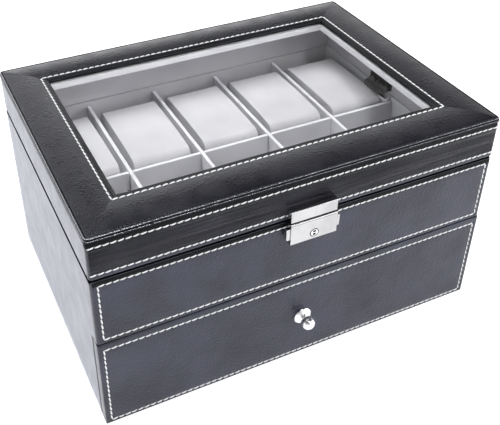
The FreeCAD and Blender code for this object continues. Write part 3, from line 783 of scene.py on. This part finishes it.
# Painted shade: the lip takes a darker copy of the lid leather with no sheen, for the shade where it slopes
# down into the window.
lip_black, lip_grey = (0.003, 0.003, 0.004), (0.007, 0.007, 0.009)
lip_painted_shade_leather = leather("lip_painted_shade_leather", lip_black, lip_grey, 0.40, 0.52, bloom=0.0, shine=0.25, grain=0.08)
lip_cover = piece_of("window_lip_leather", *quilt(rows, True), lip_painted_shade_leather, "lid", "black_leather")
thicken(lip_cover, 0.5)
left, right = -window_half - window_stitch, window_half + window_stitch
front, back = window_front - window_stitch, window_back + window_stitch
corners = [(left, front, lid_top), (right, front, lid_top), (right, back, lid_top), (left, back, lid_top)]
window_threads = [(corners[at], corners[(at + 1) % 4], (0, 0, 1)) for at in range(4)]
stitching("window_stitching", window_threads, "lid")

# Lid band leather: a strip round the lid's four walls, turned in under its lower edge.
# Glossy black leather, pulled tight so that it creases along the band, with two thread lines.
band_low = 126.4
band_high = 153.8
band_stitches = (130.0, 150.0)
crease_depth = 0.22
band_black, band_grey = (0.003, 0.003, 0.005), (0.014, 0.014, 0.019)
band_leather = leather("band_leather", band_black, band_grey, 0.16, 0.50, bloom=0.17, shine=0.20, streaks=2.5)
stations = outline(steps(-138, 138, 46), steps(-98, 98, 32))
band_foot = [(5.5, band_low), (2.4, band_low), (1.2, 126.45), (0.5, 126.62), (0.15, 126.9), (0.03, 127.4)]
band_face = beside(band_stitches[0]) + steps(132.5, 147.5, 16) + beside(band_stitches[1])
band_turn = [(0.12, 152.2), (0.4, 152.9), (0.7, 153.4), (0.8, band_high)]
rows = []
for depth, height in band_foot + [(0, height) for height in band_face] + band_turn:
    row = []
    for station in stations:
        dip = 0
        if depth == 0 and station[1] < 0.5 - half_depth:
            crease = noise.noise(Vector((station[0] / 45, station[1] / 45, height / 2.6)))
            dip = max(crease_depth * crease, sunk(height - band_stitches[0]), sunk(height - band_stitches[1]))
        row.append((*inset(station, depth + dip), height))
    rows.append(row)


def on_band(middle):
    """Whether a face with this middle lies between the band's two thread lines."""
    return middle[1] < 0.35 - half_depth and band_stitches[0] < middle[2] < band_stitches[1]


def on_band_top(middle):
    """Whether it lies above them on the front."""
    return middle[1] < 3 - half_depth and middle[2] > band_stitches[1]


def on_band_foot(middle):
    """Whether it lies below them on the front."""
    return middle[1] < 3 - half_depth and middle[2] < band_stitches[0]


def on_band_side(middle):
    """Whether it lies on the sides or the back."""
    return not on_band(middle) and not on_band_top(middle) and not on_band_foot(middle)


# Above the upper thread line on the front, the band takes the painted-shade leather: painted shade under the
# lid's edge.
for name, material, keep in (("lid_band_leather", band_leather, on_band),
                             ("lid_band_top", painted_shade_leather, on_band_top),
                             ("lid_band_foot", border_leather, on_band_foot),
                             ("lid_band_sides", base_leather, on_band_side)):
    leather_cover(name, quilt(rows, True, keep), material, "lid", "lid_band_cover")
reach = half_width - 0.6
band_threads = [((-reach, -half_depth, z), (reach, -half_depth, z), (0, -1, 0)) for z in band_stitches]
stitching("band_stitching", band_threads, "lid")

# Stay straps: two strips that stop the open lid from falling back.
# Thin black leather, glued inside the lid and the tray; from the loop down it is painted paler, as painted
# light on the loop's upturned face.
# With the lid shut their slack lies folded in lined pockets, each closed by a velvet gusset at its front end.
strap_front = 2.5
strap_back = 30.5
strap_depth = 0.6
strap_black = (0.003, 0.003, 0.003)
strap_painted_light = (0.10, 0.10, 0.10)
strap_leather = leather("strap_leather", strap_black, strap_black, 0.55, 0.7, bloom=0.0, shine=0.05)
# Painted light: the strap's colour turns paler from the loop down, standing in for the light on the loop's
# upturned face.
tree = strap_leather.node_tree
laid = add_node(tree, "ShaderNodeTexCoord", {}).outputs["Generated"]
along = add_node(tree, "ShaderNodeSeparateXYZ", {"Vector": laid}).outputs["Z"]
shift = between(tree, speckle(tree, 160), -0.02, 0.02)
uneven = add_node(tree, "ShaderNodeMath", {0: along, 1: shift}, operation="ADD").outputs[0]
tint(tree, tree.nodes["Principled BSDF"], between(tree, uneven, 1, 0, 0.655, 0.685), strap_black, strap_painted_light)


def strap_path():
    """The right strap seen from the front: down the lid, round the loop, then folded beside the tray."""
    angle = math.radians(84)
    lid_leg, strap_top, first_leg = 135.4, 143.4, 132.3
    loop, upper, loop_height = 2.2, 4.3, 117.5
    lower = upper - (lid_leg - first_leg) / (1 - math.cos(angle))
    fold_low, fold_high, fold = 80.4, 113.5, 0.4
    lid_run = strap_top - loop_height - (upper + loop) * math.sin(angle)
    tray_run = loop_height - (lower + loop) * math.sin(angle) - fold_low
    moves = [(0, lid_run), (upper, -angle), (loop, 2 * angle), (lower, -angle), (0, tray_run)]
    for turn in (1, -1, 1):
        moves += [(fold, turn * math.pi), (0, fold_high - fold_low)]
    x, z, heading = lid_leg, strap_top, -math.pi / 2
    path = [(x, z)]
    for radius, amount in moves:
        parts = 6 if radius == 0 else 12 if radius > 0.5 else 6
        for _ in range(parts):
            if radius:
                heading += amount / parts / 2
            length = amount / parts if radius == 0 else 2 * radius * math.sin(abs(amount) / parts / 2)
            x, z = x + length * math.cos(heading), z + length * math.sin(heading)
            if radius:
                heading += amount / parts / 2
            path.append((x, z))
    return path


loop_start = 122.5
loop_narrowing = 8.0
gusset_foot = 113.5
gusset_edge = [(134.9, 1.85, 119.0), (133.4, 1.85, 118.4), (132.0, 1.85, 117.4), (130.9, 1.85, 116.8),
               (130.3, 2.3, 116.6), (130.2, 4.0, 116.5), (130.2, 10.2, 116.3)]
for side, name in ((1, "right_stay_strap"), (-1, "left_stay_strap")):
    rows = []
    for x, z in strap_path():
        narrower = loop_narrowing * max(0, min(1, (loop_start - z) / 5))
        rows.append([(side * x, y, z) for y in steps(strap_front + narrower, strap_back, 10)])
    points, faces = quilt(rows, False)
    if side < 0:
        faces = [face[::-1] for face in faces]
    strap = piece_of(name, points, faces, strap_leather, None, "black_leather")
    skin = strap.modifiers.new("strap thickness", "SOLIDIFY")
    skin.thickness = strap_depth * mm
    skin.offset = 0
    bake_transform(strap)
    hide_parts("stay_straps")
    rows = [[(side * x, y, gusset_foot) for x, y, z in gusset_edge],
            [(side * x, y, z) for x, y, z in gusset_edge]]
    gusset = piece_of(name + "_gusset", *quilt(rows, False), velvet_lining, "base", "velvet_lining")
    thicken(gusset, 0.4)

# Hinges: two three-knuckle hinges on the back, with a pin through each.
# Brushed steel leaves, screwed to the base and to the lid with small cross-head screws.
steel_shade, steel_light = (0.20, 0.20, 0.21), (0.28, 0.28, 0.29)
hinge_steel = bright("hinge_steel", steel_shade, steel_light, 0.24, 0.36, (0.1, 1, 1))
dress(hinge_steel, "hinge_base_leaves", "hinge_lid_leaves", "hinge_pins")
soften(0.2, 2, "hinge_base_leaves", "hinge_lid_leaves")
leaf_face = 103.5
screw_radius = 1.7
screw_rise = 0.55
cross_half_width = 0.24
cross_depth = 0.3


def screw_heads(name, places, body):
    """Domed screw heads with a pressed cross."""
    points = []
    faces = []
    ring = 32
    levels = steps(0, 1.0, 8)
    for x, z in places:
        start = len(points)
        for level in levels:
            for turn in range(ring):
                angle = 2 * math.pi * turn / ring
                u, v = screw_radius * level * math.cos(angle), screw_radius * level * math.sin(angle)
                rise = screw_rise * (1 - level ** 2)
                if min(abs(u), abs(v)) < cross_half_width and max(abs(u), abs(v)) < 1.0:
                    rise -= cross_depth
                points.append((x - u, leaf_face + rise, z + v))
        for level in range(len(levels) - 1):
            for turn in range(ring):
                ahead = (turn + 1) % ring
                low = start + level * ring
                faces.append((low + turn, low + ring + turn, low + ring + ahead, low + ahead))
    return piece_of(name, points, faces, hinge_steel, body, "bright_metal")


screw_columns = (-95, -85, -75, 75, 85, 95)
base_screw_height = 118.4
lid_screw_height = 134.0
screw_heads("hinge_base_screws", [(x, base_screw_height) for x in screw_columns], "base")
screw_heads("hinge_lid_screws", [(x, lid_screw_height) for x in screw_columns], "lid")

# Lock: a case on the base, a notched hasp on the lid, two sprung side catches and a turning plug.
# Die-cast metal, plated, with a folded strip spring of blued steel inside.
lock_shade, lock_light = (0.44, 0.44, 0.45), (0.53, 0.53, 0.54)
lock_metal = bright("lock_metal", lock_shade, lock_light, 0.12, 0.24)
plug_metal = bright("bright_metal", metal_shade, metal_light, 0.06, 0.16)
dress(lock_metal, "lock_case", "lock_hasp", "latch_left", "latch_right")
dress(plug_metal, "key_plug")
soften(0.35, 3, "lock_case", "lock_hasp", "latch_left", "latch_right")
# The key slot and a ring round the plug are covered by flat black sheets: painted shade, standing in for the
# shade in these recesses.
shade_sheet_color = (0.004, 0.004, 0.004)
shade_sheet_black, shade_sheet_grey = (0.003, 0.003, 0.003), (0.008, 0.008, 0.008)
painted_shade_sheet, tree, shader = finish("painted_shade_sheet", shade_sheet_color, 0.7)
tint(tree, shader, between(tree, speckle(tree, 900), 0, 1), shade_sheet_black, shade_sheet_grey)
shader.inputs["Specular IOR Level"].default_value = 0.0
plug_height = 115.3
plug_face = -108.6
case_face = -108.5
shade_sheet_lift = 0.02
slot_half_width = 1.05
slot_reach = (0.35, 1.9)
ring_reach = (2.5, 3.1)
slot_points = [(side * slot_half_width, plug_face - shade_sheet_lift, plug_height + turn * reach)
               for turn in (1, -1) for reach in slot_reach for side in (-1, 1)]
slot_faces = [(0, 1, 3, 2), (4, 6, 7, 5)]
piece_of("key_slot_painted_shade", slot_points, slot_faces, painted_shade_sheet, "key_plug", "bright_metal", False)
ring_angles = steps(0, math.tau, 48)[:-1]
rows = [[(reach * math.cos(a), case_face - shade_sheet_lift, plug_height + reach * math.sin(a))
         for a in ring_angles] for reach in ring_reach]
piece_of("key_ring_painted_shade", *quilt(rows, True), painted_shade_sheet, "base", "bright_metal", False)
# Each half of the spring is pressed together by its own catch.
spring_blue, spring_grey = (0.16, 0.17, 0.20), (0.30, 0.31, 0.34)
spring_steel = bright("spring_steel", spring_blue, spring_grey, 0.25, 0.4, (1, 1, 0.2))
spring_bends = [(4.5, 121.0), (3.0, 123.8), (1.5, 121.0), (0.01, 123.78)]
spring_section = [(-107.2, -0.4), (-106, -0.4), (-106, 0.4), (-107.2, 0.4)]
for side, name in ((1, "latch_right"), (-1, "latch_left")):
    rows = [[(side * x, y, z + lift) for y, lift in spring_section] for x, z in spring_bends]
    points, faces = quilt(rows, True)
    faces += [(0, 1, 2, 3), tuple(range(len(points) - 4, len(points)))]
    half_spring = piece_of(name + "_spring", points, faces, spring_steel, None, "spring_steel", False)
    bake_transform(half_spring)
    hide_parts("lock_spring")

# Floor: a pale studio table that runs out of sight and keeps the box's soft shadow.
# Matt white; it is a touch brighter to the camera and in mirrors, so that it reads as white.
floor_white = (0.88, 0.88, 0.88)
floor_paint, tree, shader = finish("floor_white", floor_white, 0.9)
shader.inputs["Specular IOR Level"].default_value = 0.0
floor_light = (0.89, 0.89, 0.89)
floor_lift = 0.63
tint(tree, shader, between(tree, speckle(tree, 3), 0, 1), floor_white, floor_light)
paths = add_node(tree, "ShaderNodeLightPath", {}).outputs
seen = paths["Is Camera Ray"]
for path in ("Is Glossy Ray", "Is Transmission Ray"):
    seen = add_node(tree, "ShaderNodeMath", {0: seen, 1: paths[path]}, operation="MAXIMUM").outputs[0]
lift = add_node(tree, "ShaderNodeMath", {0: seen, 1: floor_lift}, operation="MULTIPLY").outputs[0]
glow = add_node(tree, "ShaderNodeEmission", {"Color": (1, 1, 1, 1), "Strength": lift})
both = add_node(tree, "ShaderNodeAddShader", {0: shader.outputs[0], 1: glow.outputs[0]})
tree.links.new(both.outputs[0], tree.nodes["Material Output"].inputs["Surface"])
floor_mesh = bpy.data.meshes.new("floor")
floor_mesh.from_pydata([(-6, -6, 0), (6, -6, 0), (6, 6, 0), (-6, 6, 0)], [], [(0, 1, 2, 3)])
floor_mesh.materials.append(floor_paint)
floor = bpy.data.objects.new("floor", floor_mesh)
bpy.context.scene.collection.objects.link(floor)

# Light: a white room that darkens overhead and is brightest behind the box, to the left.
# A broad lamp hangs above the left, a narrow one above the front, and a wide one stands at the front right.
# The level is plain, so that each colour shows about as it is written.
bright_way = (-0.42, 0.907, 0)
world = bpy.data.worlds.new("studio")
bpy.context.scene.world = world
world.use_nodes = True
tree = world.node_tree
facing = add_node(tree, "ShaderNodeTexCoord", {}).outputs["Generated"]
upward = add_node(tree, "ShaderNodeSeparateXYZ", {"Vector": facing}).outputs["Z"]
sky = between(tree, upward, 1.0, 0.12, 0.30, 0.62)
turned = add_node(tree, "ShaderNodeVectorMath", {0: facing, 1: bright_way}, operation="DOT_PRODUCT")
bright_side = between(tree, turned.outputs["Value"], 0.75, 2.4, 0.25, 0.68)
sky = add_node(tree, "ShaderNodeMath", {0: sky, 1: bright_side}, operation="MULTIPLY").outputs[0]
tree.links.new(sky, tree.nodes["Background"].inputs["Strength"])
tree.nodes["Background"].inputs["Color"].default_value = (1, 1, 1, 1)


def soft_lamp(name, place, aim, wide, tall, watts):
    """A soft oval lamp aimed at a point."""
    lamp = bpy.data.lights.new(name, "AREA")
    lamp.shape = "ELLIPSE"
    lamp.size = wide
    lamp.size_y = tall
    lamp.energy = watts
    holder = bpy.data.objects.new(name, lamp)
    holder.location = place
    holder.rotation_euler = (Vector(aim) - Vector(place)).to_track_quat("-Z", "Y").to_euler()
    bpy.context.scene.collection.objects.link(holder)


soft_lamp("key_lamp", (-0.42, 0.28, 1.9), (0, 0, 0.1), wide=1.2, tall=1.2, watts=20)
soft_lamp("edge_lamp", (0.13, -1.06, 1.4), (0, 0, 0.1), wide=0.20, tall=0.6, watts=7)
soft_lamp("fill_lamp", (1.35, -1.25, 0.6), (0, 0, 0.08), wide=2.4, tall=1.0, watts=21)

bpy.context.scene.view_settings.view_transform = "Standard"
bpy.context.view_layer.update()
